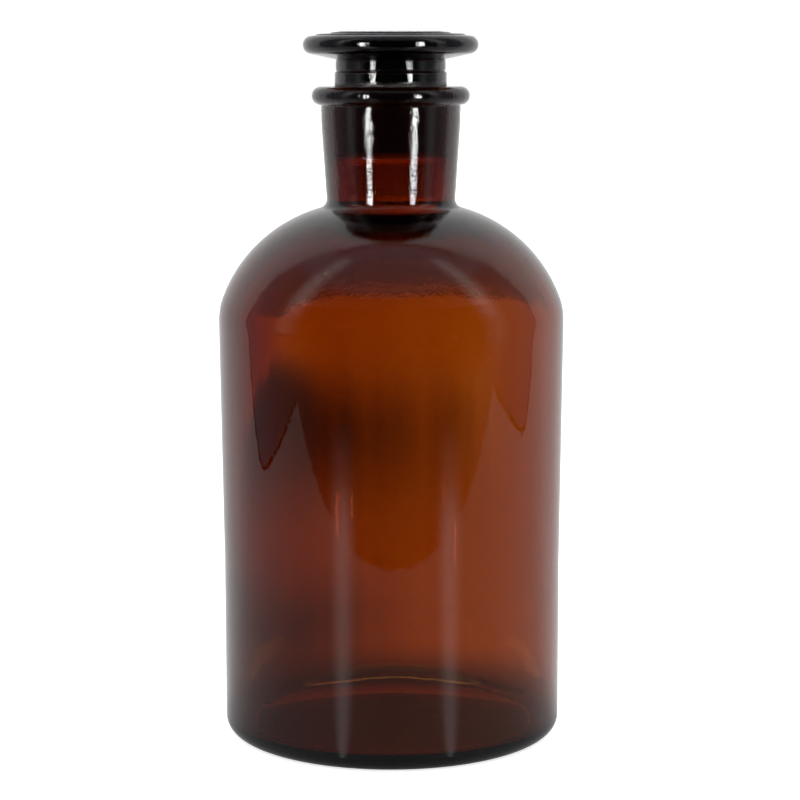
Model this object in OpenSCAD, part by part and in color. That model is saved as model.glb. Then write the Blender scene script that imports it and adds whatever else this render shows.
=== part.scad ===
// Narrow-mouth reagent bottle of amber glass with a solid ground-glass stopper.
// Millimetres, +Z up. The origin is the centre of the base, in the plane of its bearing ring.
// Both pieces are solids of revolution about the Z axis.

/* [Barrel] */
// Radius of the cylindrical lower barrel
barrel_r = 42.25; // [41:0.05:42.8]
// Height at which the barrel starts to widen towards the shoulder
barrel_straight_h = 44; // [20:1:80]
// Radius at the top of the barrel, the widest part
shoulder_r = 43; // [42.8:0.05:44]
// Height of the widest part, where the shoulder starts
shoulder_z = 104.7; // [90:0.1:120]
// Thickness of the glass in the barrel
wall = 2.7; // [2:0.1:3.4]

/* [Base] */
// Radius of the rounded heel
heel_r = 4; // [3:0.1:5]
// Inner radius of the flat ring on which the bottle stands
ring_inner_r = 35.6; // [33:0.1:37]
// Rise of the hollow under the base at its centre
push_up = 1.8; // [1.2:0.1:2.4]
// Height of the inside floor beside its rounded corner
floor_z = 3.2; // [3:0.1:6]
// Rise of the inside floor at its centre
floor_rise = 0.8; // [0.4:0.1:2]
// Radius of the rounded corner between the inside floor and the wall
floor_corner_r = 1.6; // [1:0.1:3]

/* [Shoulder] */
// Radius of the tighter curve that starts the shoulder
corner_r = 15.6; // [12:0.2:20]
// Angle through which the tighter curve turns, in degrees
corner_turn = 21; // [15:1:30]
// Radius of the flatter curve of the dome
dome_r = 36.5; // [34:0.5:38]
// Radius of the dome's inside, which thickens the glass towards the neck
inner_dome_r = 30; // [28:0.5:32]
// Radius of the hollow curve at the root of the neck
root_fillet_r = 2.3; // [1.5:0.1:3.5]

/* [Neck and lip] */
// Radius of the neck at its root
neck_root_r = 15.9; // [15.6:0.1:16.6]
// Radius of the neck below the lip
neck_top_r = 17.15; // [16.8:0.05:17.6]
// Height of the top of the lip
mouth_z = 162.2; // [160:0.1:168]
// Height of the short cylinder below the lip
neck_band_h = 4; // [2:0.5:8]
// Radius of the bead's round section
bead_r = 2.25; // [2:0.05:2.8]
// Largest radius of the lip
lip_r = 19.5; // [19:0.1:20]

/* [Ground joint] */
// Radius of the plug at the mouth
plug_r = 13.8; // [13.4:0.05:14]
// Narrowing of the joint's diameter for each millimetre of depth
joint_taper = 0.1; // [0.08:0.01:0.12]
// Radial gap between the plug and the socket
joint_gap = 0.05; // [0.02:0.01:0.09]
// Length of the plug below the mouth
plug_depth = 16; // [14:0.5:19]
// Length of the ground socket below the plug's end
socket_spare = 0.6; // [0.4:0.1:3]
// Radius of the smooth bore below the socket
bore_r = 12.5; // [11:0.05:12.6]
// Radius of the rounded edge where the bore opens into the shoulder
bore_edge_r = 3; // [2:0.5:4]

/* [Stopper head] */
// Height of the plain band above the mouth
band_h = 4; // [3:0.1:5]
// Radius of the collar above the band
collar_r = 13.55; // [13.2:0.05:13.75]
// Height of the collar, up to the underside of the disc
collar_h = 2.7; // [2.4:0.1:3.5]
// Largest radius of the disc
disc_r = 21.6; // [20:0.1:23]
// Radius of the disc's rounded rim
rim_r = 2.25; // [1.8:0.05:2.4]
// Rise of the disc's underside from the collar to the rim
underside_rise = 1.2; // [0.8:0.1:1.6]
// Outer radius of the flat terrace inside the rim
terrace_r = 18.2; // [17:0.1:18.6]
// Radius of the low medallion that stands on the terrace
medallion_r = 14.6; // [12:0.1:16]
// Height of each of the two steps, up to the terrace and up to the medallion
step_h = 0.42; // [0.3:0.02:0.6]
// Further rise of the medallion to its centre
crown_h = 0.2; // [0.1:0.05:0.5]

/* [Hidden] */
amber = [0.36, 0.13, 0.03];
facets = 180;
arc_step = 4.5;
dish_steps = 8;
mouth_land_r = 14.3;
mouth_chamfer = 0.45;
ledge_h = 1;
step_w = 0.3;
plug_chamfer = 0.6;
groove_w = 0.5;
groove_d = 0.4;
ring_w = 0.8;
ring_h = 0.2;
ring_radii = [9.6, 5.2];

// Centres of the curves of the shoulder
corner_c = [shoulder_r - corner_r, shoulder_z];
dome_c = corner_c + (corner_r - dome_r) * unit(corner_turn);
// Direction, from the dome's centre, in which the dome meets the curve at the neck's root
root_turn = acos((neck_root_r + root_fillet_r - dome_c[0]) / (dome_r + root_fillet_r));
root_c = dome_c + (dome_r + root_fillet_r) * unit(root_turn);

// The inside lies one wall inside the outside, up to the dome
inner_barrel_r = barrel_r - wall;
inner_corner_r = corner_r - wall;
inner_dome_c = corner_c + (inner_corner_r - inner_dome_r) * unit(corner_turn);
// Direction, from the inner dome's centre, in which the dome meets the edge of the bore
bore_edge_turn = acos((bore_r + bore_edge_r - inner_dome_c[0]) / (inner_dome_r + bore_edge_r));
bore_edge_c = inner_dome_c + (inner_dome_r + bore_edge_r) * unit(bore_edge_turn);

// The bead's circle, and the depth at which the neck's band leaves it
bead_c = [lip_r - bead_r, mouth_z - bead_r];
bead_foot_turn = acos((neck_top_r - bead_c[0]) / bead_r);

// Depth of the socket, and its radii at the mouth and at its bottom
socket_depth = plug_depth + socket_spare;
socket_r = plug_r + joint_gap;
socket_end_r = socket_r - socket_depth * joint_taper / 2;
plug_end_r = plug_r - plug_depth * joint_taper / 2;

// Heights of the stopper's head
band_top_z = mouth_z + band_h;
disc_z = band_top_z + collar_h;
rim_c = [disc_r - rim_r, disc_z + underside_rise + rim_r];
rim_top_z = rim_c[1] + rim_r;
terrace_z = rim_top_z + step_h;
medallion_z = terrace_z + step_h;
// Direction, from the rim's centre, in which the sloping underside meets the rim
underside_turn = -90 + atan(underside_rise / (rim_c[0] - collar_r));

function unit(angle) = [cos(angle), sin(angle)];

// Points of an arc about centre c, from one angle to another
function arc(c, r, from, to) =
    let (n = max(2, ceil(abs(to - from) / arc_step)))
    [for (i = [0 : n]) c + r * unit(from + (to - from) * i / n)];

// Points of a shallow dish, from the axis at height z_mid out to the radius r at height z_edge
function dish(r, z_edge, z_mid) =
    [for (i = [0 : dish_steps]) [r * i / dish_steps, z_mid + (z_edge - z_mid) * pow(i / dish_steps, 2)]];

function backwards(points) = [for (i = [len(points) - 1 : -1 : 0]) points[i]];

// Height of the crowned medallion at the radius r
function crown_z(r) = medallion_z + crown_h * (1 - pow(r / medallion_r, 2));

// A ring in low relief about the radius r, drawn inwards
function ring_relief(r) = [for (step = [[1, 0], [1 / 3, 1], [-1 / 3, 1], [-1, 0]])
    [r + step[0] * ring_w, crown_z(r) + step[1] * ring_h]];

function outside_of_bottle() = concat(
    arc([barrel_r - heel_r, heel_r], heel_r, -90, 0),
    [[barrel_r, barrel_straight_h]],
    arc(corner_c, corner_r, 0, corner_turn),
    arc(dome_c, dome_r, corner_turn + arc_step, root_turn),
    arc(root_c, root_fillet_r, root_turn + 180, 180),
    [[neck_top_r, mouth_z - 2 * bead_r - neck_band_h]],
    arc(bead_c, bead_r, -bead_foot_turn, 90),
    [[mouth_land_r, mouth_z]]
);

function inside_of_bottle() = concat(
    [[socket_r, mouth_z - mouth_chamfer]],
    [[socket_end_r, mouth_z - socket_depth]],
    [[bore_r, mouth_z - socket_depth - ledge_h]],
    arc(bore_edge_c, bore_edge_r, 180, 180 + bore_edge_turn),
    arc(inner_dome_c, inner_dome_r, bore_edge_turn - arc_step, corner_turn),
    arc(corner_c, inner_corner_r, corner_turn - arc_step, 0),
    [[inner_barrel_r, barrel_straight_h]],
    arc([inner_barrel_r - floor_corner_r, floor_z + floor_corner_r], floor_corner_r, 0, -90),
    backwards(dish(inner_barrel_r - floor_corner_r - 1, floor_z, floor_z + floor_rise))
);

function underside_of_bottle() = dish(ring_inner_r, 0, push_up);

module bottle() {
    color(amber)
    rotate_extrude($fn = facets)
    polygon(concat(underside_of_bottle(), outside_of_bottle(), inside_of_bottle()));
}

module stopper() {
    color(amber)
    rotate_extrude($fn = facets)
    polygon(concat(
        [[0, mouth_z - plug_depth], [plug_end_r - plug_chamfer, mouth_z - plug_depth]],
        [[plug_end_r, mouth_z - plug_depth + plug_chamfer]],
        [[plug_r, mouth_z], [plug_r, band_top_z - groove_w]],
        [[collar_r - groove_d, band_top_z - groove_w / 2], [collar_r, band_top_z]],
        [[collar_r, disc_z - groove_w], [collar_r - groove_d / 2, disc_z - groove_w / 2]],
        [[collar_r + groove_d, disc_z]],
        arc(rim_c, rim_r, underside_turn, 90),
        [[terrace_r + step_w, rim_top_z], [terrace_r, terrace_z]],
        [[medallion_r + step_w, terrace_z], [medallion_r, medallion_z]],
        [for (r = ring_radii) each ring_relief(r)],
        [[0, crown_z(0)]]
    ));
}

bottle();
stopper();
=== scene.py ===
"""Amber glass reagent bottle with a solid ground-glass stopper, in metres, on a pale floor."""

import math
import random

import bpy
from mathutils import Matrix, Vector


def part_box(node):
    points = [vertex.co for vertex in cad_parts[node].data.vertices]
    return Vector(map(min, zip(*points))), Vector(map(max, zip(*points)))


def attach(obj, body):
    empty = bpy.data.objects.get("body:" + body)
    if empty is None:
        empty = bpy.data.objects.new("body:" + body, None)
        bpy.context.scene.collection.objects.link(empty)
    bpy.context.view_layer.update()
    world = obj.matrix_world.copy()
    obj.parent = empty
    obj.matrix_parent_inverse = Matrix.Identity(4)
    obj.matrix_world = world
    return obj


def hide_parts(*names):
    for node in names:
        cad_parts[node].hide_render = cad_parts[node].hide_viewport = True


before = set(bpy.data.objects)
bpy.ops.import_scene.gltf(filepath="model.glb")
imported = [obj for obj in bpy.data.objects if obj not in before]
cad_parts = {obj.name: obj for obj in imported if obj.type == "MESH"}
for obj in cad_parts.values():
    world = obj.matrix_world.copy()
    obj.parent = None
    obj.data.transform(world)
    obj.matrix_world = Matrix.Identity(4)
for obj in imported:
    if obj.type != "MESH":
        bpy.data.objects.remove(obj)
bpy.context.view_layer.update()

MM = 0.001
TURN = 2 * math.pi

# Heights taken from the CAD frame
MOUTH_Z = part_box("bottle")[1][2]
PLUG_END_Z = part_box("stopper")[0][2]

# Barrel, base and shoulder
SHOULDER_R = 43.0 * MM
BARREL_R = 42.25 * MM
BARREL_STRAIGHT_Z = 44 * MM
SHOULDER_Z = 104.7 * MM
WALL = 2.7 * MM
HEEL_R = 4 * MM
RING_INNER_R = 35.6 * MM
PUSH_UP = 1.8 * MM
FLOOR_Z = 3.2 * MM
FLOOR_RISE = 0.8 * MM
FLOOR_CORNER_R = 1.6 * MM
# The hollow under the base ends this far inside the bearing ring, and this far above it
RING_EDGE_W = 0.6 * MM
RING_EDGE_H = 0.12 * MM
# The dished inside floor ends this far before its rounded corner
FLOOR_EDGE_W = 1 * MM
CORNER_R = 15.6 * MM
CORNER_TURN = math.radians(21)
DOME_R = 36.5 * MM
INNER_DOME_R = 30 * MM

# Neck, lip and ground joint
ROOT_FILLET_R = 2.3 * MM
NECK_ROOT_R = 15.9 * MM
NECK_TOP_R = 17.15 * MM
NECK_BAND = 4 * MM
NECK_BEND_R = 1.2 * MM
BEAD_R = 2.25 * MM
# How far below the bead's foot the neck still has its full radius
BEAD_GAP = 0.3 * MM
LIP_R = 19.5 * MM
PLUG_R = 13.8 * MM
JOINT_TAPER = 0.1
JOINT_GAP = 0.05 * MM
SOCKET_SPARE = 0.6 * MM
LEDGE_H = 1 * MM
BORE_R = 12.5 * MM
BORE_EDGE_R = 3 * MM
MOUTH_LAND_R = 14.3 * MM
MOUTH_CHAMFER = 0.45 * MM
MOUTH_EDGE_R = 0.3 * MM

# Head of the stopper
DISC_R = 21.6 * MM
PLUG_EDGE_R = 0.6 * MM
BAND_H = 4 * MM
COLLAR_R = 13.55 * MM
COLLAR_H = 2.7 * MM
GROOVE_H = 0.5 * MM
BAND_GROOVE = 0.35 * MM
COLLAR_GROOVE = 0.2 * MM
COLLAR_FLARE = 0.5 * MM
HEAD_EDGE_R = 0.5 * MM
TOP_EDGE_R = 0.25 * MM
RIM_R = 2.25 * MM
UNDERSIDE_RISE = 1.2 * MM
TERRACE_R = 18.2 * MM
MEDALLION_R = 14.6 * MM
STEP_H = 0.42 * MM
STEP_W = 0.3 * MM
CROWN_H = 0.2 * MM

# Relief on top of the stopper
RING_RADII = (5.2 * MM, 9.6 * MM)
RIB_BAND = (10.9 * MM, 13.4 * MM)
RIBS = 32
RELIEF = 0.2 * MM
RING_W = 0.45 * MM

# How dull each kind of surface is, where it isn't polished, and how much of the ground faces' dark tint,
# part of it painted shade, it takes: the underside is only scuffed
DULLNESS_AND_SHADE = {"ground": 1.0, "under": 0.6}

# Mesh detail
AROUND = 256
STEP = 2.2 * MM
ARC_STEP = math.radians(4)

random.seed(11)


# ---------------------------------------------------------------- outlines

def on_circle(centre, radius, angle):
    return (centre[0] + radius * math.cos(angle), centre[1] + radius * math.sin(angle))


def arc(centre, radius, start, end, kind):
    """Outline points (r, z, kind) of an arc about a centre in the (r, z) plane."""
    count = max(3, math.ceil(abs(end - start) / ARC_STEP))
    points = []
    for i in range(count + 1):
        r, z = on_circle(centre, radius, start + (end - start) * i / count)
        points.append((r, z, kind))
    return points


def rounded(corner, before, after, radius, kind):
    """Outline points of a small rounding of the corner between two neighbours."""
    points = []
    ends = []
    for other in (before, after):
        length = math.hypot(other[0] - corner[0], other[1] - corner[1])
        share = min(radius / length, 0.45)
        ends.append(tuple(c + (o - c) * share for c, o in zip(corner, other)))
    for i in range(5):
        t = i / 4
        weights = ((1 - t) ** 2, 2 * t * (1 - t), t * t)
        trio = (ends[0], corner, ends[1])
        r, z = (sum(w * p[axis] for w, p in zip(weights, trio)) for axis in (0, 1))
        points.append((r, z, kind))
    return points


def polyline(corners, radius, kind):
    """Outline points of a chain of straight lines with every corner between its ends rounded."""
    points = [(*corners[0], kind)]
    for before, corner, after in zip(corners, corners[1:], corners[2:]):
        points += rounded(corner, before, after, radius, kind)
    points.append((*corners[-1], kind))
    return points


def dish(radius, z_mid, z_edge, kind):
    """Outline points of a shallow dish, from the axis outwards."""
    count = max(4, round(radius / STEP))
    points = []
    for i in range(count + 1):
        share = i / count
        points.append((radius * share, z_mid + (z_edge - z_mid) * share**2, kind))
    return points


def refined(outline):
    """The outline with its long straight lines cut to STEP, and doubled points removed."""
    points = [outline[0]]
    for point in outline[1:]:
        last = points[-1]
        length = math.hypot(point[0] - last[0], point[1] - last[1])
        if length < 1e-6:
            continue
        pieces = max(1, math.ceil(length / STEP))
        for i in range(1, pieces + 1):
            share = i / pieces
            r = last[0] + (point[0] - last[0]) * share
            z = last[1] + (point[1] - last[1]) * share
            points.append((r, z, point[2]))
    return points


CORNER_C = (SHOULDER_R - CORNER_R, SHOULDER_Z)
DOME_C = on_circle(CORNER_C, CORNER_R - DOME_R, CORNER_TURN)
ROOT_TURN = math.acos((NECK_ROOT_R + ROOT_FILLET_R - DOME_C[0]) / (DOME_R + ROOT_FILLET_R))
ROOT_C = on_circle(DOME_C, DOME_R + ROOT_FILLET_R, ROOT_TURN)
NECK_FOOT_Z = ROOT_C[1]
INNER_DOME_C = on_circle(CORNER_C, CORNER_R - WALL - INNER_DOME_R, CORNER_TURN)
BORE_EDGE_TURN = math.acos((BORE_R + BORE_EDGE_R - INNER_DOME_C[0]) / (INNER_DOME_R + BORE_EDGE_R))
BORE_EDGE_C = on_circle(INNER_DOME_C, INNER_DOME_R + BORE_EDGE_R, BORE_EDGE_TURN)
BEAD_C = (LIP_R - BEAD_R, MOUTH_Z - BEAD_R)
BEAD_FOOT_TURN = math.acos((NECK_TOP_R - BEAD_C[0]) / BEAD_R)
INNER_BARREL_R = BARREL_R - WALL
SOCKET_DEPTH = MOUTH_Z - PLUG_END_Z + SOCKET_SPARE
SOCKET_R = PLUG_R + JOINT_GAP
SOCKET_END = (SOCKET_R - SOCKET_DEPTH * JOINT_TAPER / 2, MOUTH_Z - SOCKET_DEPTH)


def bottle_outline():
    """The glass of the bottle in the (r, z) plane, from under the base round to the inside floor."""
    half = math.pi / 2
    mouth_edge = (MOUTH_LAND_R, MOUTH_Z)
    socket_top = (SOCKET_R, MOUTH_Z - MOUTH_CHAMFER)
    outline = dish(RING_INNER_R - RING_EDGE_W, PUSH_UP, RING_EDGE_H, "under")
    outline += [(RING_INNER_R, 0, "under")]
    outline += arc((BARREL_R - HEEL_R, HEEL_R), HEEL_R, -half, 0, "out")
    outline += [(BARREL_R, BARREL_STRAIGHT_Z, "out")]
    outline += arc(CORNER_C, CORNER_R, 0, CORNER_TURN, "out")
    outline += arc(DOME_C, DOME_R, CORNER_TURN, ROOT_TURN, "out")
    outline += arc(ROOT_C, ROOT_FILLET_R, ROOT_TURN + math.pi, math.pi, "out")
    band_foot = (NECK_TOP_R, MOUTH_Z - 2 * BEAD_R - NECK_BAND)
    band_top = (NECK_TOP_R, MOUTH_Z - 2 * BEAD_R)
    outline += rounded(band_foot, (NECK_ROOT_R, ROOT_C[1]), band_top, NECK_BEND_R, "out")
    outline += [(NECK_TOP_R, BEAD_C[1] - BEAD_R * math.sin(BEAD_FOOT_TURN) - BEAD_GAP, "out")]
    outline += arc(BEAD_C, BEAD_R, -BEAD_FOOT_TURN, half, "out")
    outline += rounded(mouth_edge, (BEAD_C[0], MOUTH_Z), socket_top, MOUTH_EDGE_R, "out")
    outline += [(*socket_top, "ground"), (*SOCKET_END, "ground"), (BORE_R, SOCKET_END[1] - LEDGE_H, "in")]
    outline += arc(BORE_EDGE_C, BORE_EDGE_R, math.pi, math.pi + BORE_EDGE_TURN, "in")
    outline += arc(INNER_DOME_C, INNER_DOME_R, BORE_EDGE_TURN, CORNER_TURN, "in")
    outline += arc(CORNER_C, CORNER_R - WALL, CORNER_TURN, 0, "in")
    outline += [(INNER_BARREL_R, BARREL_STRAIGHT_Z, "in")]
    floor_c = (INNER_BARREL_R - FLOOR_CORNER_R, FLOOR_Z + FLOOR_CORNER_R)
    outline += arc(floor_c, FLOOR_CORNER_R, 0, -half, "in")
    outline += reversed(dish(floor_c[0] - FLOOR_EDGE_W, FLOOR_Z + FLOOR_RISE, FLOOR_Z, "in"))
    return refined(outline)


def stopper_outline():
    """The glass of the stopper in the (r, z) plane, from under the plug round to the top."""
    plug_end_r = PLUG_R - (MOUTH_Z - PLUG_END_Z) * JOINT_TAPER / 2
    band_top = MOUTH_Z + BAND_H
    disc_z = band_top + COLLAR_H
    rim_c = (DISC_R - RIM_R, disc_z + UNDERSIDE_RISE + RIM_R)
    rim_top = rim_c[1] + RIM_R
    slope = -math.pi / 2 + math.atan(UNDERSIDE_RISE / (rim_c[0] - COLLAR_R))
    plug = [(0, PLUG_END_Z), (plug_end_r, PLUG_END_Z), (PLUG_R, MOUTH_Z)]
    outline = polyline(plug, PLUG_EDGE_R, "ground")
    band_and_collar = [
        (PLUG_R, MOUTH_Z),
        (PLUG_R, band_top - GROOVE_H),
        (COLLAR_R - BAND_GROOVE, band_top - GROOVE_H / 2),
        (COLLAR_R, band_top),
        (COLLAR_R, disc_z - GROOVE_H),
        (COLLAR_R - COLLAR_GROOVE, disc_z - GROOVE_H / 2),
        (COLLAR_R + COLLAR_FLARE, disc_z),
        on_circle(rim_c, RIM_R, slope),
    ]
    outline += polyline(band_and_collar, HEAD_EDGE_R, "out")
    outline += arc(rim_c, RIM_R, slope, math.pi / 2, "out")
    terrace = rim_top + STEP_H
    medallion = terrace + STEP_H
    steps = [
        (rim_c[0], rim_top),
        (TERRACE_R + STEP_W, rim_top),
        (TERRACE_R, terrace),
        (MEDALLION_R + STEP_W, terrace),
        (MEDALLION_R, medallion),
        (RIB_BAND[1], medallion),
    ]
    outline += polyline(steps, TOP_EDGE_R, "top")
    outline += reversed(dish(RIB_BAND[1], medallion + CROWN_H, medallion, "top"))
    return refined(outline)


# ---------------------------------------------------------------- unevenness of the glass

def waves(count, low, high, tilt):
    """Random sine waves round the axis: (number round, waves per metre of height, phase, share)."""
    made = []
    for _ in range(count):
        number = random.randint(low, high)
        made.append((number, random.uniform(-tilt, tilt), random.uniform(0, TURN), 1 / number**0.5))
    total = sum(w[3] for w in made)
    return [(n, t, p, s / total) for n, t, p, s in made]


def height(made, angle, z):
    return sum(s * math.sin(n * angle + TURN * t * z + p) for n, t, p, s in made)


THICKNESS_WAVES = waves(5, 1, 4, 9)
STREAK_WAVES = waves(9, 9, 30, 5)
FINE_WAVES = waves(14, 24, 60, 3)
FLOOR_WAVES = waves(6, 3, 9, 0)

# How much each set of waves moves the inside of the wall, and how soon that starts below the ground socket
THICKNESS_WAVE = 0.32 * MM
STREAK_WAVE = 0.10 * MM
FINE_WAVE = 0.05 * MM
WAVES_START = 8 * MM
# The waves die out towards the axis from this radius on, where the inside narrows
WAVES_R = 30 * MM
# The inside floor's edge, in mm: hump at the back and its spread, tilt and waves. Then how high up the
# wall follows
HUMP = 1.7
HUMP_SPREAD = math.radians(24)
FLOOR_TILT = 0.7
FLOOR_WAVE = 0.3
FLOOR_REACH = 20 * MM
# The mould seams
SEAM_H = 0.07 * MM
SEAM_SPREAD = 0.012
# Thin spots in the wall: azimuth from the camera's side and spread in degrees, height and spread, depth
THIN_SPOTS = (
    (-37, 13, 101 * MM, 15 * MM, 0.9 * MM),
    (30, 9, 88 * MM, 17 * MM, 0.4 * MM),
)
# How far the inside of the barrel stands off the axis, to the camera's right
INSIDE_OFFSET = 0.6 * MM


def thin_spots(angle, z):
    """How much farther out the inside of the wall lies at a thin spot."""
    azimuth = math.degrees(angle) + 90
    depth = 0
    for middle, spread, level, reach, most in THIN_SPOTS:
        aside = math.remainder(azimuth - middle, 360)
        depth += most * math.exp(-((aside / spread) ** 2) - ((z - level) / reach) ** 2)
    return depth


def floor_lift(angle):
    """How the inside floor rises and falls round its edge: higher in front, with a hump at the back."""
    behind = math.remainder(angle - math.pi / 2, TURN)
    hump = HUMP * math.exp(-((behind / HUMP_SPREAD) ** 2))
    return MM * (hump - FLOOR_TILT * math.cos(behind) + FLOOR_WAVE * height(FLOOR_WAVES, angle, 0))


def seam(angle):
    """Height share of the mould seams, which run up both sides of the bottle."""
    off = min(abs(math.remainder(angle, math.pi)), math.pi)
    return math.exp(-((off / SEAM_SPREAD) ** 2))


def shape_bottle(r, z, kind, angle):
    """Where a point of the bottle's outline goes at an angle round the axis."""
    if kind == "in" and z < MOUTH_Z - SOCKET_DEPTH:
        fade = min(1, (MOUTH_Z - SOCKET_DEPTH - z) / WAVES_START)
        low = max(0, 1 - z / FLOOR_REACH)
        uneven = THICKNESS_WAVE * height(THICKNESS_WAVES, angle, z)
        uneven += STREAK_WAVE * height(STREAK_WAVES, angle, z)
        uneven += FINE_WAVE * height(FINE_WAVES, angle, z) + thin_spots(angle, z)
        r += fade * (uneven + INSIDE_OFFSET * math.cos(angle)) * min(1, r / WAVES_R)
        z += low * floor_lift(angle) * (r / INNER_BARREL_R) ** 2
    elif kind == "out" and HEEL_R < z < MOUTH_Z - 2 * BEAD_R:
        r += SEAM_H * seam(angle)
    return r, z


def shape_stopper(r, z, kind, angle):
    """Low concentric rings and short ribs on top of the stopper's disc."""
    if kind == "top" and r < MEDALLION_R:
        for radius in RING_RADII:
            z += RELIEF * math.exp(-(((r - radius) / RING_W) ** 2))
        across = (r - RIB_BAND[0]) / (RIB_BAND[1] - RIB_BAND[0])
        if 0 < across < 1:
            z += RELIEF * math.sin(math.pi * across) ** 0.5 * (0.5 + 0.5 * math.cos(RIBS * angle)) ** 2
    return r, z


# ---------------------------------------------------------------- meshes

BUBBLES = 16
BUBBLE_R = (0.08, 0.2)
BUBBLE_STRETCH = (1.2, 3)
BUBBLE_Z = (20 * MM, 104 * MM)


def revolve(outline, shape):
    """A closed mesh: the outline turned about Z, each point moved by shape(). Its ends lie on the axis."""
    verts, faces, ground = [], [], []
    rows = []
    for r, z, kind in outline:
        count = 1 if r < 1e-6 else AROUND
        rows.append(range(len(verts), len(verts) + count))
        for j in range(count):
            angle = TURN * j / AROUND
            at_r, at_z = shape(r, z, kind, angle)
            verts.append((at_r * math.cos(angle), at_r * math.sin(angle), at_z))
            ground.append(DULLNESS_AND_SHADE.get(kind, 0.0))
    for low, high in zip(rows, rows[1:]):
        for j in range(AROUND):
            k = (j + 1) % AROUND
            if len(low) == 1:
                faces.append((low[0], high[k], high[j]))
            elif len(high) == 1:
                faces.append((low[j], low[k], high[0]))
            else:
                faces.append((low[j], low[k], high[k], high[j]))
    return verts, faces, ground


def add_bubble(verts, faces, ground, centre, sizes):
    """A closed bubble inside the glass: an ellipsoid whose faces look inwards."""
    rings, sides = 7, 10
    start = len(verts)
    for i in range(rings + 1):
        polar = math.pi * i / rings
        count = 1 if i in (0, rings) else sides
        for j in range(count):
            turn = TURN * j / sides
            flat = math.sin(polar)
            spot = (flat * math.cos(turn), flat * math.sin(turn), math.cos(polar))
            verts.append(tuple(c + s * p for c, s, p in zip(centre, sizes, spot)))
            ground.append(0.0)

    def index(i, j):
        if i == 0:
            return start
        if i == rings:
            return start + 1 + (rings - 1) * sides
        return start + 1 + (i - 1) * sides + j % sides

    for i in range(rings):
        for j in range(sides):
            ring = [index(i, j), index(i, j + 1), index(i + 1, j + 1), index(i + 1, j)]
            faces.append(tuple(dict.fromkeys(ring)))


def add_bubbles(verts, faces, ground, count):
    """A few small bubbles in the middle of the barrel's wall, drawn out upwards. BUBBLE_R is in mm."""
    for _ in range(count):
        angle = random.uniform(0, TURN)
        z = random.uniform(*BUBBLE_Z)
        r = BARREL_R - WALL / 2
        size = random.uniform(*BUBBLE_R) * MM
        centre = (r * math.cos(angle), r * math.sin(angle), z)
        add_bubble(verts, faces, ground, centre, (size, size, size * random.uniform(*BUBBLE_STRETCH)))


def set_values(mesh, name, values):
    mesh.attributes.new(name, "FLOAT", "POINT").data.foreach_set("value", values)


def ripple(z):
    """How much the surface ripples at a height: the tooled neck and the stopper more than the barrel."""
    return min(1, max(0, (z - SHOULDER_Z) / (NECK_FOOT_Z - SHOULDER_Z)))


def make_piece(name, verts, faces, ground, material):
    mesh = bpy.data.meshes.new(name)
    mesh.from_pydata(verts, [], faces)
    mesh.validate()
    set_values(mesh, "ground", ground)
    set_values(mesh, "ripple", [ripple(vert[2]) for vert in verts])
    mesh.shade_smooth()
    mesh.materials.append(material)
    piece = bpy.data.objects.new(name, mesh)
    bpy.context.scene.collection.objects.link(piece)
    return piece


# ---------------------------------------------------------------- materials

# What a metre of the glass takes off red, green and blue
ABSORPTION = (300, 665, 1350)
DENSITY = max(ABSORPTION)
TINT = tuple(1 - a / DENSITY for a in ABSORPTION)
REFRACTION = 1.52
# What a ground face lets through, which is partly the light its frosting scatters away and partly painted
# shade that keeps the ground joint dark, and how rough it is
GROUND_TINT_AND_SHADE = (0.12, 0.13, 0.15)
GROUND_ROUGHNESS = 0.5
# Roughness of the polished glass: of the barrel, and of the tooled neck and the stopper
POLISH = (0.012, 0.045)


def link(tree, source, target):
    tree.links.new(source, target)


def noise(tree, place, scale, stretch, detail=2):
    """Noise over the object's own coordinates, drawn out along Z where stretch is below 1."""
    mapping = tree.nodes.new("ShaderNodeMapping")
    mapping.inputs["Scale"].default_value = (1, 1, stretch)
    texture = tree.nodes.new("ShaderNodeTexNoise")
    texture.inputs["Scale"].default_value = scale
    texture.inputs["Detail"].default_value = detail
    link(tree, place.outputs["Object"], mapping.inputs["Vector"])
    link(tree, mapping.outputs["Vector"], texture.inputs["Vector"])
    return texture.outputs["Fac"]


def times(tree, first, second):
    product = tree.nodes.new("ShaderNodeMath")
    product.operation = "MULTIPLY"
    link(tree, first, product.inputs[0])
    link(tree, second, product.inputs[1])
    return product.outputs["Value"]


def ranged(tree, value, low, high):
    """A value from 0 to 1, spread from low to high."""
    spread = tree.nodes.new("ShaderNodeMapRange")
    spread.inputs["To Min"].default_value = low
    spread.inputs["To Max"].default_value = high
    link(tree, value, spread.inputs["Value"])
    return spread.outputs["Result"]


def bump(tree, height_output, distance, before=None):
    node = tree.nodes.new("ShaderNodeBump")
    node.inputs["Strength"].default_value = 1
    node.inputs["Distance"].default_value = distance
    link(tree, height_output, node.inputs["Height"])
    if before:
        link(tree, before, node.inputs["Normal"])
    return node.outputs["Normal"]


def attribute(tree, name):
    node = tree.nodes.new("ShaderNodeAttribute")
    node.attribute_name = name
    return node.outputs["Fac"]


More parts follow.
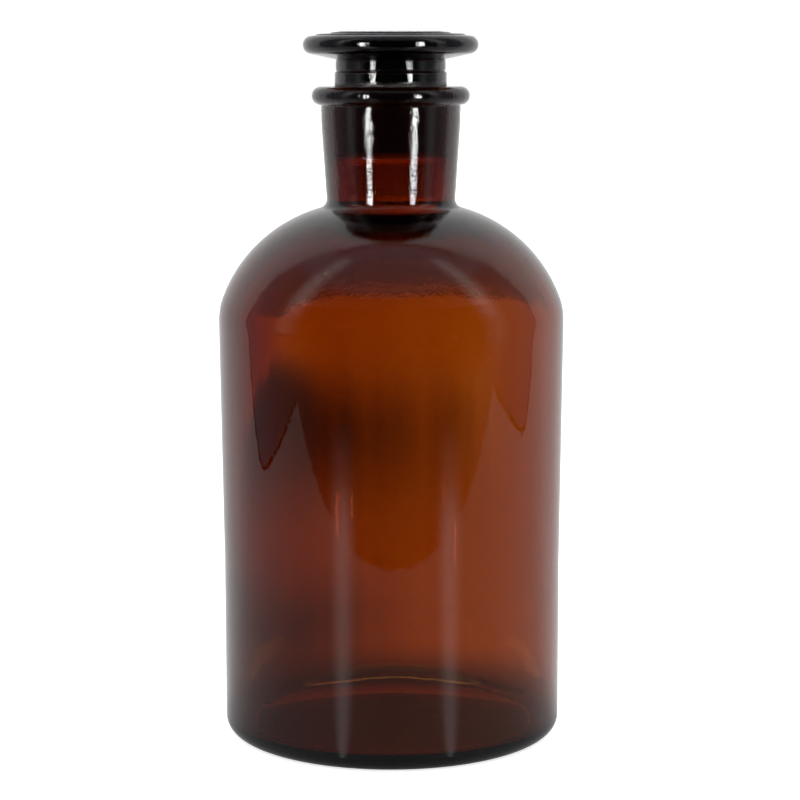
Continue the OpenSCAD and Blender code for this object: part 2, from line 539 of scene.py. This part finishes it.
def amber_glass(name):
    """Clear glass coloured by depth, with a dark tint on ground faces that is partly painted shade. The
    mesh says where it is ground and where it ripples from tooling.
    """
    material = bpy.data.materials.new(name)
    material.use_nodes = True
    tree = material.node_tree
    glass = tree.nodes["Principled BSDF"]
    output = tree.nodes["Material Output"]
    glass.inputs["Transmission Weight"].default_value = 1
    glass.inputs["IOR"].default_value = REFRACTION

    depth = tree.nodes.new("ShaderNodeVolumeAbsorption")
    depth.inputs["Color"].default_value = (*TINT, 1)
    depth.inputs["Density"].default_value = DENSITY
    link(tree, depth.outputs["Volume"], output.inputs["Volume"])

    # Ground faces are dull and let little light through (their dark tint is partly painted shade), and the
    # tooled neck is a little duller
    ground = attribute(tree, "ground")
    tooled = attribute(tree, "ripple")
    pass_on_and_shade = tree.nodes.new("ShaderNodeMix")
    pass_on_and_shade.data_type = "RGBA"
    pass_on_and_shade.inputs["A"].default_value = (1, 1, 1, 1)
    pass_on_and_shade.inputs["B"].default_value = (*GROUND_TINT_AND_SHADE, 1)
    link(tree, ground, pass_on_and_shade.inputs["Factor"])
    link(tree, pass_on_and_shade.outputs["Result"], glass.inputs["Base Color"])
    dull = ranged(tree, ground, 0, GROUND_ROUGHNESS)
    rough = tree.nodes.new("ShaderNodeMath")
    rough.operation = "ADD"
    link(tree, dull, rough.inputs[0])
    link(tree, ranged(tree, tooled, *POLISH), rough.inputs[1])
    link(tree, rough.outputs["Value"], glass.inputs["Roughness"])

    # Coarse and fine waves left by the tools, long upright lines, and the grain of ground faces
    place = tree.nodes.new("ShaderNodeTexCoord")
    skin = times(tree, noise(tree, place, 420, 0.7), ranged(tree, tooled, 0.2, 1))
    normal = bump(tree, skin, 0.03 * MM)
    fine = times(tree, noise(tree, place, 1500, 0.7), ranged(tree, tooled, 0.05, 1))
    normal = bump(tree, fine, 0.05 * MM, normal)
    normal = bump(tree, noise(tree, place, 900, 0.03), 0.0007 * MM, normal)
    normal = bump(tree, times(tree, noise(tree, place, 6000, 1), ground), 0.03 * MM, normal)
    link(tree, normal, glass.inputs["Normal"])
    return material


def make_bottle():
    verts, faces, ground = revolve(bottle_outline(), shape_bottle)
    add_bubbles(verts, faces, ground, BUBBLES)
    piece = make_piece("glass_bottle", verts, faces, ground, amber_glass("bottle_amber"))
    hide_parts("bottle")
    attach(piece, "bottle")


def make_stopper():
    verts, faces, ground = revolve(stopper_outline(), shape_stopper)
    piece = make_piece("glass_stopper", verts, faces, ground, amber_glass("stopper_amber"))
    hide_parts("stopper")
    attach(piece, "stopper")


# ---------------------------------------------------------------- studio

def studio_light(name, strength=None):
    """White light of one strength, or as strong and as solid as the mesh's glow and cover values."""
    material = bpy.data.materials.new(name)
    material.use_nodes = True
    tree = material.node_tree
    tree.nodes.clear()
    light = tree.nodes.new("ShaderNodeEmission")
    output = tree.nodes.new("ShaderNodeOutputMaterial")
    material.cycles.emission_sampling = "NONE"
    if strength is not None:
        light.inputs["Strength"].default_value = strength
        link(tree, light.outputs["Emission"], output.inputs["Surface"])
        return material
    clear = tree.nodes.new("ShaderNodeBsdfTransparent")
    mix = tree.nodes.new("ShaderNodeMixShader")
    link(tree, attribute(tree, "glow"), light.inputs["Strength"])
    link(tree, attribute(tree, "cover"), mix.inputs["Fac"])
    link(tree, clear.outputs["BSDF"], mix.inputs[1])
    link(tree, light.outputs["Emission"], mix.inputs[2])
    link(tree, mix.outputs["Shader"], output.inputs["Surface"])
    return material


def level_curve(tree, value, levels):
    """A light level that depends on a value from 0 to 1, by straight lines between (value, level) pairs."""
    ramp = tree.nodes.new("ShaderNodeValToRGB")
    stops = ramp.color_ramp.elements
    while len(stops) < len(levels):
        stops.new(0.5)
    for stop, (position, level) in zip(stops, levels):
        stop.position = position
        stop.color = (level, level, level, 1)
    link(tree, value, ramp.inputs["Fac"])
    return ramp.outputs["Color"]


def table_light(name):
    """The white cloth round the bottle: in shade towards the camera, brighter to the sides and behind."""
    material = studio_light(name, 1)
    tree = material.node_tree
    light = tree.nodes["Emission"]
    place = tree.nodes.new("ShaderNodeTexCoord")
    split = tree.nodes.new("ShaderNodeSeparateXYZ")
    towards = tree.nodes.new("ShaderNodeMath")
    towards.operation = "MULTIPLY"
    towards.inputs[1].default_value = -1
    turn = tree.nodes.new("ShaderNodeMath")
    turn.operation = "ARCTAN2"
    size = tree.nodes.new("ShaderNodeMath")
    size.operation = "ABSOLUTE"
    link(tree, place.outputs["Object"], split.inputs["Vector"])
    link(tree, split.outputs["Y"], towards.inputs[0])
    link(tree, split.outputs["X"], turn.inputs[0])
    link(tree, towards.outputs["Value"], turn.inputs[1])
    link(tree, turn.outputs["Value"], size.inputs[0])
    half_turns = tree.nodes.new("ShaderNodeMath")
    half_turns.operation = "DIVIDE"
    half_turns.inputs[1].default_value = math.pi
    link(tree, size.outputs["Value"], half_turns.inputs[0])
    levels = [(degrees / 180, level) for degrees, level in CLOTH_SHADE]
    shade = level_curve(tree, half_turns.outputs["Value"], levels)
    link(tree, shade, light.inputs["Strength"])
    return material


def stage_card(name, mesh, through):
    """A studio card is seen either through the glass or in mirror reflections, and nowhere else."""
    made = bpy.data.objects.new(name, mesh)
    bpy.context.scene.collection.objects.link(made)
    made.visible_camera = False
    made.visible_diffuse = False
    made.visible_shadow = False
    made.visible_volume_scatter = False
    made.visible_glossy = not through
    made.visible_transmission = through


def card(name, corners, material, through=False):
    mesh = bpy.data.meshes.new(name)
    mesh.from_pydata(corners, [], [(0, 1, 2, 3)])
    mesh.materials.append(material)
    stage_card(name, mesh, through)


def soft_card(name, place, glow, cover, cells, through=False):
    """A card over u and v from 0 to 1: place gives its points, glow its light and cover how solid it is."""
    verts, faces, glows, covers = [], [], [], []
    columns, rows = cells
    for j in range(rows + 1):
        for i in range(columns + 1):
            spot = place(i / columns, j / rows)
            verts.append(spot)
            glows.append(glow)
            covers.append(cover(i / columns, j / rows, spot))
    for j in range(rows):
        for i in range(columns):
            corner = j * (columns + 1) + i
            faces.append((corner, corner + 1, corner + columns + 2, corner + columns + 1))
    mesh = bpy.data.meshes.new(name)
    mesh.from_pydata(verts, [], faces)
    set_values(mesh, "glow", glows)
    set_values(mesh, "cover", covers)
    mesh.materials.append(studio_light(name))
    stage_card(name, mesh, through)


def around(azimuth, distance, z):
    """A point by its azimuth, which is 0 towards the camera and grows to the camera's right."""
    return (math.sin(azimuth) * distance, -math.cos(azimuth) * distance, z)


def upright(name, azimuth, distance, width, low, high, material):
    """An upright card that faces the axis."""
    middle = around(azimuth, distance, 0)
    corners = []
    for across, z in ((-0.5, low), (0.5, low), (0.5, high), (-0.5, high)):
        x = middle[0] + math.cos(azimuth) * across * width
        y = middle[1] + math.sin(azimuth) * across * width
        corners.append((x, y, z))
    card(name, corners, material)


def square(size):
    return [(-size, -size, 0), (size, -size, 0), (size, size, 0), (-size, size, 0)]


def hill(x, middle, width):
    return math.exp(-(((x - middle) / width) ** 2))


def ease(x, low, high):
    """0 below low, 1 above high, and a smooth step between."""
    t = min(1, max(0, (x - low) / (high - low)))
    return t * t * (3 - 2 * t)


# The floor, and the strength of the white surroundings
FLOOR_SIZE = 6.0
FLOOR_LIGHT = 0.7
WHITE = 1.05
# Soft shade on the floor, as the glass lets it through: the patch's left, right, front and back edges
SHADE_PATCH = (-0.22, 0.18, -0.12, 1.0)
# The white cloth lies on the table and curves up behind the bottle. Its corners at floor level
CLOTH_FRONT = ((-0.50, -0.262), (0.565, -0.221))
CLOTH_BACK = ((-0.352, 0.094), (0.438, 0.128))
CLOTH_BEND_R = 0.11
CLOTH_TOP = 0.95
CLOTH_BENDS = 8
HEM_W = 0.012
HEM_TOP_W = 3 * HEM_W
# The cloth's light by its angle from the camera's side, in degrees
CLOTH_SHADE = ((0, 0.22), (60, 0.33), (100, 0.6), (115, 0.8), (180, 0.88))
# Two strip lights in front: azimuth, distance, width, lower and upper end, and strength
STRIP_TURNS = (("left", math.radians(-36.5)), ("right", math.radians(39.5)))
STRIP_DISTANCE = 0.40
STRIP_W = 0.031
STRIP_LOW, STRIP_HIGH = 0.062, 0.34
STRIP_LIGHT = 40
# The strips' glint on the table, which the inside of the far wall mirrors: nearest and farthest distance,
# half its width as an angle, and its strength
GLINTS = {"left": (0.27, 0.34), "right": (0.235, 0.30)}
GLINT_SPREAD = math.radians(0.8)
GLINT = 24
# The strips' soft glow on the table: how far its middle is turned from the strip's own azimuth, how far
# it spreads, its length and its strength in the middle
GLOW_TURNS = {"left": math.radians(3.5), "right": 0}
GLOW_SPREAD = math.radians(24)
GLOW_LENGTH = 0.48
GLOW_COVER = 0.9
# A dark screen close to the shoulder: azimuth of its ends in degrees, distance, foot and height
SCREEN_REACH = 55
SCREEN_DISTANCE = 0.060
SCREEN_FOOT = 0.090
SCREEN_H = 0.0362
# Soft windows to both sides: azimuth, lowest elevation, and how much of the glow is left at the foot.
# Then, for both: width and top in degrees, distance from a point on the axis, and strength
LAMPS = (("left", -69, -7.5, 0.4), ("right", 69, -12, 0.36))
LAMP_WIDTH = 26
LAMP_TOP = 72
LAMP_DISTANCE = 0.4
LAMP_Z = 0.12
LAMP_GLOW = 1.25


def make_floor():
    mesh = bpy.data.meshes.new("floor")
    mesh.from_pydata(square(FLOOR_SIZE), [], [(0, 1, 2, 3)])
    floor = bpy.data.objects.new("floor", mesh)
    bpy.context.scene.collection.objects.link(floor)
    paint = bpy.data.materials.new("floor_paint")
    paint.use_nodes = True
    shader = paint.node_tree.nodes["Principled BSDF"]
    shader.inputs["Base Color"].default_value = (0.95, 0.95, 0.95, 1)
    shader.inputs["Roughness"].default_value = 1
    shader.inputs["Specular IOR Level"].default_value = 0
    shader.inputs["Emission Color"].default_value = (1, 1, 1, 1)
    shader.inputs["Emission Strength"].default_value = FLOOR_LIGHT
    mesh.materials.append(paint)
    floor.visible_glossy = False
    floor.visible_transmission = False


def make_light_through():
    """What the glass lets through: a white floor, with soft shade on it, and weaker light higher up."""
    card("floor_light", square(FLOOR_SIZE), studio_light("floor_light", WHITE), through=True)
    left, right, front, back = SHADE_PATCH

    def place(u, v):
        return (left + (right - left) * u, front + (back - front) * v, 0.1 * MM)

    # Shade under the foot, in a band behind the bottle, and close behind it to the left
    def cover(u, v, spot):
        x, y = spot[0], spot[1]
        foot = 0.985 * (1 - ease(math.hypot(x, y), BARREL_R - HEEL_R, 2.2 * BARREL_R))
        band = (0.92 - 0.85 * ease(x, -0.07, 0.085)) * hill(y, 0.46, 0.19)
        near_left = 0.72 * (1 - ease(x, -0.035, 0.012)) * hill(y, 0.10, 0.085)
        light = (1 - foot) * (1 - band) * (1 - near_left)
        edge = ease(min(u, 1 - u), 0, 0.15) * ease(min(v, 1 - v), 0, 0.1)
        return (1 - light) * edge

    soft_card("floor_shade", place, 0.0, cover, (64, 144), through=True)

    # High behind the bottle the light is weaker
    def backdrop(u, v):
        return (1.4 * (2 * u - 1), 2.05, 1.1 * v)

    def weaker(u, v, spot):
        aside = abs(math.degrees(math.atan2(spot[0], spot[1])))
        rise = math.degrees(math.atan2(spot[2] - SHOULDER_Z, spot[1]))
        return 0.66 * (1 - ease(aside, 12, 26)) * ease(rise, -4.6, -1.2) * (1 - ease(rise, 13, 24))

    soft_card("backdrop_shade", backdrop, 0.0, weaker, (40, 40), through=True)

    # Straight above the bottle it is dim
    def overhead(u, v):
        return (0.6 * (2 * u - 1), 0.6 * (2 * v - 1), 0.6)

    def dim(u, v, spot):
        return 0.9 * (1 - ease(math.hypot(spot[0], spot[1]), 0.25, 0.58))

    soft_card("overhead_shade", overhead, 0.0, dim, (24, 24), through=True)


def make_cloth():
    """The cloth, with a dark hem along both sides and over its top edge."""
    depth = math.dist(CLOTH_FRONT[0], CLOTH_BACK[0])
    profile = [(0, 0)]
    for i in range(CLOTH_BENDS + 1):
        turn = math.pi / 2 * i / CLOTH_BENDS
        share = 1 - CLOTH_BEND_R * (1 - math.sin(turn)) / depth
        profile.append((share, CLOTH_BEND_R * (1 - math.cos(turn))))
    profile.append((1, CLOTH_TOP))
    light = table_light("cloth")
    hem = studio_light("hem", 0)

    def edge(side, share, z, out=0.0):
        front, back = CLOTH_FRONT[side], CLOTH_BACK[side]
        x, y = (f + (b - f) * share for f, b in zip(front, back))
        return (x + (2 * side - 1) * out, y, z + 0.2 * MM)

    for i, (low, high) in enumerate(zip(profile, profile[1:])):
        cloth = [edge(0, *low), edge(1, *low), edge(1, *high), edge(0, *high)]
        card("cloth_%02d" % i, cloth, light)
        for side in (0, 1):
            outer = [edge(side, *low, HEM_W), edge(side, *high, HEM_W)]
            card("hem_%d_%02d" % (side, i), [edge(side, *low), *outer, edge(side, *high)], hem)
    top = [edge(0, 1, CLOTH_TOP, HEM_W), edge(1, 1, CLOTH_TOP, HEM_W)]
    ahead = [(x, y - HEM_TOP_W, z) for x, y, z in reversed(top)]
    card("hem_top", top + ahead, hem)


def make_strips():
    """The strip lights, mirrored by the outside, and their glints, which show through the glass."""
    strip = studio_light("strip_light", STRIP_LIGHT)
    for side, turn in STRIP_TURNS:
        upright("strip_" + side, turn, STRIP_DISTANCE, STRIP_W, STRIP_LOW, STRIP_HIGH, strip)
        near, far = GLINTS[side]

        def glint(u, v):
            return around(turn + GLINT_SPREAD * (2 * u - 1), near + (far - near) * v, 0.3 * MM)

        def melt(u, v, spot):
            return ease(min(u, 1 - u), 0, 0.2) * ease(min(v, 1 - v), 0, 0.1)

        soft_card("glint_" + side, glint, GLINT, melt, (16, 24), through=True)


def make_screen():
    """A dark screen close to the shoulder, which keeps the strips off it."""

    def azimuth(u):
        return -SCREEN_REACH + 2 * SCREEN_REACH * u

    def screen(u, v):
        return around(math.radians(azimuth(u)), SCREEN_DISTANCE, SCREEN_FOOT + SCREEN_H * v)

    def shelter(u, v, spot):
        return (1 - ease(abs(azimuth(u)), 31, SCREEN_REACH)) * ease(spot[2], 0.091, 0.101)

    soft_card("screen", screen, 0.0, shelter, (22, 14))


def make_glows():
    """The strips' soft glow on the cloth."""
    for side, turn in STRIP_TURNS:

        def wedge(u, v):
            middle = turn + GLOW_TURNS[side]
            start = around(middle / 2, BARREL_R, 0.4 * MM)
            step = around(middle + GLOW_SPREAD * (u - 0.5), 0.005 + GLOW_LENGTH * v, 0)
            return tuple(a + b for a, b in zip(start, step))

        def fade(u, v, spot):
            across = GLOW_COVER * math.sin(math.pi * u) ** 2
            return across * (1 - 0.8 * ease(v, 0.50, 0.75)) * (1 - ease(v, 0.75, 1))

        soft_card("glow_" + side, wedge, 1.0, fade, (12, 24))


def make_windows():
    """Soft, slightly streaky windows to both sides."""
    for side, azimuth, foot, left_over in LAMPS:

        def window(u, v):
            turn = math.radians(azimuth + LAMP_WIDTH * (u - 0.5))
            rise = math.radians(foot + (LAMP_TOP - foot) * v)
            return around(turn, LAMP_DISTANCE * math.cos(rise), LAMP_Z + LAMP_DISTANCE * math.sin(rise))

        def streaks(u, v, spot):
            soft = math.sin(math.pi * u) ** 2 * ease(v, 0, 0.05) * (1 - ease(v, 0.9, 1))
            bright = left_over + (1 - left_over) * ease(v, 0.25, 0.5)
            return soft * bright * (0.8 + 0.2 * math.sin(23 * u + 40 * v) * math.sin(17 * u - 29 * v))

        soft_card("window_" + side, window, LAMP_GLOW, streaks, (26, 60))


# The dim room as the glass mirrors it: its level from the camera's side (0) to behind the bottle (1),
# and its ceiling: heights (as the sine of the elevation) between which it begins, and its level
ROOM_LEVELS = ((0, 0.015), (0.15, 0.02), (0.4, 0.16), (0.62, 0.3), (0.85, 0.7), (1, 0.85))
CEILING = (0.72, 0.80, 0, 0.2)
ROOM_TINT = (0.85, 0.87, 1)


def make_world():
    """White surroundings, but a dim room where the glass mirrors them."""
    world = bpy.data.worlds.new("studio")
    bpy.context.scene.world = world
    world.use_nodes = True
    tree = world.node_tree
    tree.nodes.clear()
    output = tree.nodes.new("ShaderNodeOutputWorld")
    bright = tree.nodes.new("ShaderNodeBackground")
    bright.inputs["Strength"].default_value = WHITE
    bright.inputs["Color"].default_value = (1, 1, 1, 1)
    dim = tree.nodes.new("ShaderNodeBackground")
    dim.inputs["Color"].default_value = (*ROOM_TINT, 1)
    direction = tree.nodes.new("ShaderNodeTexCoord")
    split = tree.nodes.new("ShaderNodeSeparateXYZ")
    half = tree.nodes.new("ShaderNodeMapRange")
    half.inputs["From Min"].default_value = -1
    ceiling = tree.nodes.new("ShaderNodeMapRange")
    for socket, value in zip(("From Min", "From Max", "To Min", "To Max"), CEILING):
        ceiling.inputs[socket].default_value = value
    total = tree.nodes.new("ShaderNodeMath")
    total.operation = "ADD"
    link(tree, direction.outputs["Generated"], split.inputs["Vector"])
    link(tree, split.outputs["Y"], half.inputs["Value"])
    link(tree, split.outputs["Z"], ceiling.inputs["Value"])
    link(tree, level_curve(tree, half.outputs["Result"], ROOM_LEVELS), total.inputs[0])
    link(tree, ceiling.outputs["Result"], total.inputs[1])
    link(tree, total.outputs["Value"], dim.inputs["Strength"])
    path = tree.nodes.new("ShaderNodeLightPath")
    mirrored = tree.nodes.new("ShaderNodeMath")
    mirrored.operation = "SUBTRACT"
    mirrored.use_clamp = True
    mix = tree.nodes.new("ShaderNodeMixShader")
    link(tree, path.outputs["Is Reflection Ray"], mirrored.inputs[0])
    link(tree, path.outputs["Is Diffuse Ray"], mirrored.inputs[1])
    link(tree, mirrored.outputs["Value"], mix.inputs["Fac"])
    link(tree, bright.outputs["Background"], mix.inputs[1])
    link(tree, dim.outputs["Background"], mix.inputs[2])
    link(tree, mix.outputs["Shader"], output.inputs["Surface"])


# The camera looks along +Y and slightly down, from in front of the bottle
CAMERA_DISTANCE = 0.5915
CAMERA_PITCH = math.radians(8.4)
CAMERA_HEIGHT = 0.1714
CAMERA_SIDE = 0.0023
CAMERA_ROLL = math.radians(0.1)
SENSOR_W = 36
FOCAL_LENGTH = 107.1


def make_camera():
    lens = bpy.data.cameras.new("camera")
    lens.sensor_width = SENSOR_W
    lens.lens = FOCAL_LENGTH
    lens.clip_start = 0.05
    camera = bpy.data.objects.new("camera", lens)
    bpy.context.scene.collection.objects.link(camera)
    camera.location = (CAMERA_SIDE, -CAMERA_DISTANCE, CAMERA_HEIGHT)
    camera.rotation_euler = (math.pi / 2 - CAMERA_PITCH, CAMERA_ROLL, 0)
    bpy.context.scene.camera = camera


def set_render():
    scene = bpy.context.scene
    scene.view_settings.view_transform = "Standard"
    scene.view_settings.look = "None"
    scene.cycles.use_denoising = True
    scene.cycles.max_bounces = 24
    scene.cycles.transmission_bounces = 24
    scene.cycles.glossy_bounces = 12
    scene.cycles.diffuse_bounces = 3
    scene.cycles.sample_clamp_indirect = 6
    scene.cycles.blur_glossy = 0.3


make_bottle()
make_stopper()
make_floor()
make_light_through()
make_cloth()
make_strips()
make_screen()
make_glows()
make_windows()
make_world()
make_camera()
set_render()
